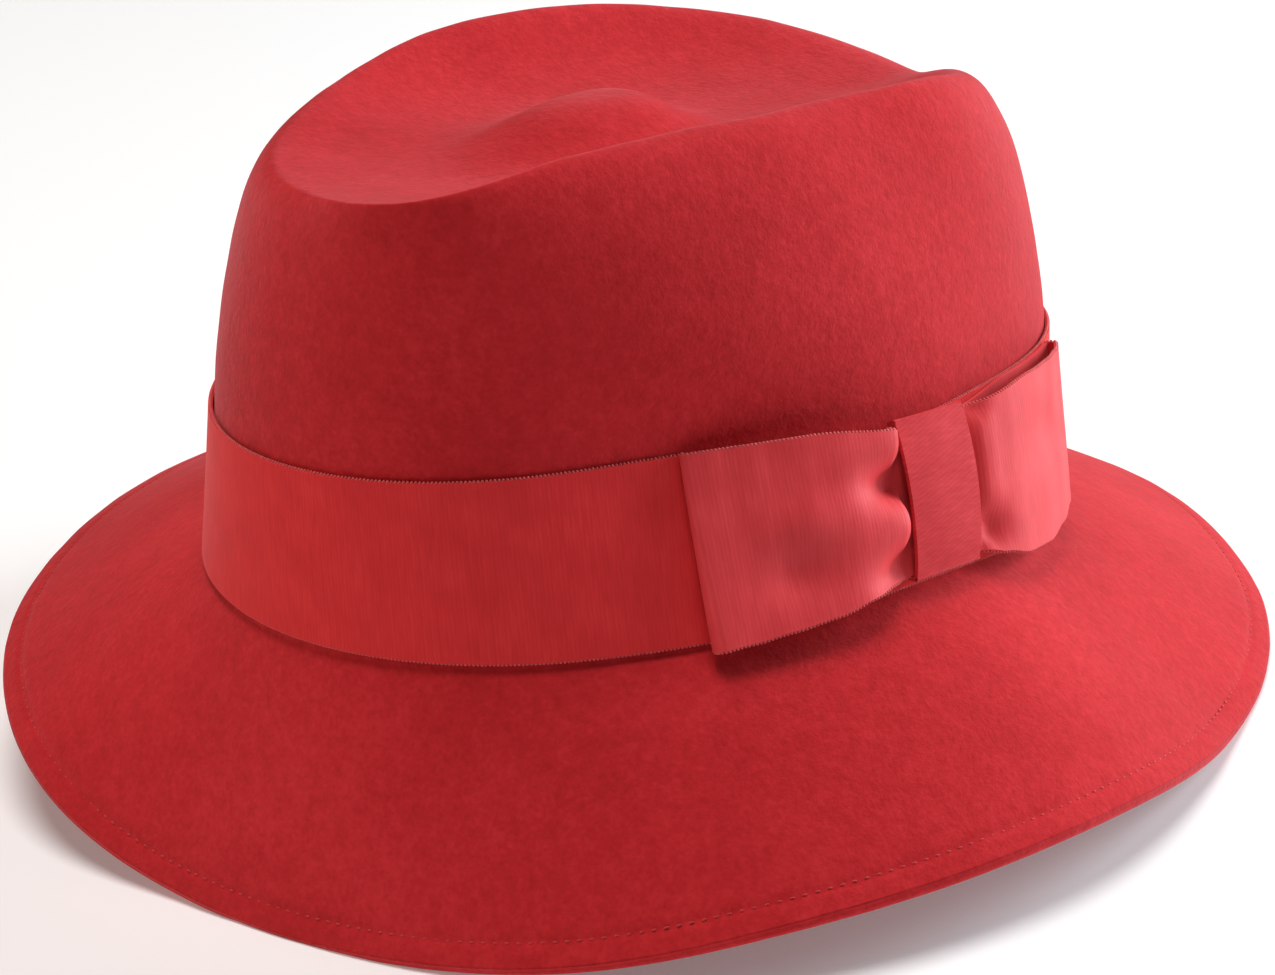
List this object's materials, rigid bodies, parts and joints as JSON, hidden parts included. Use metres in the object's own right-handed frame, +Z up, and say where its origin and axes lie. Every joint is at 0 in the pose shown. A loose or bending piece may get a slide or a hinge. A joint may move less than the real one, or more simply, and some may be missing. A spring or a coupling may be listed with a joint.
{
  "type": "fedora",
  "caption": "Snap-brim felt fedora with a centre-dented crown, turned brim edge, wide grosgrain ribbon band and a flat side bow.",
  "frame": {"origin": "centre of the bounding box in plan, on the surface the brim rests on", "axes": "+Z up, -Y towards the front of the hat, +X towards the bow on the wearer's left"},
  "size_m": [0.2822, 0.289, 0.1539],
  "materials": {
    "felt": "matte red wool felt",
    "ribbon": "ribbed red grosgrain ribbon, low sheen"
  },
  "bodies": {
    "root": {"felt_body": "felt", "ribbon_band": "ribbon", "bow_front_wing": "ribbon", "bow_back_wing": "ribbon", "bow_knot": "ribbon"}
  },
  "joints": []
}
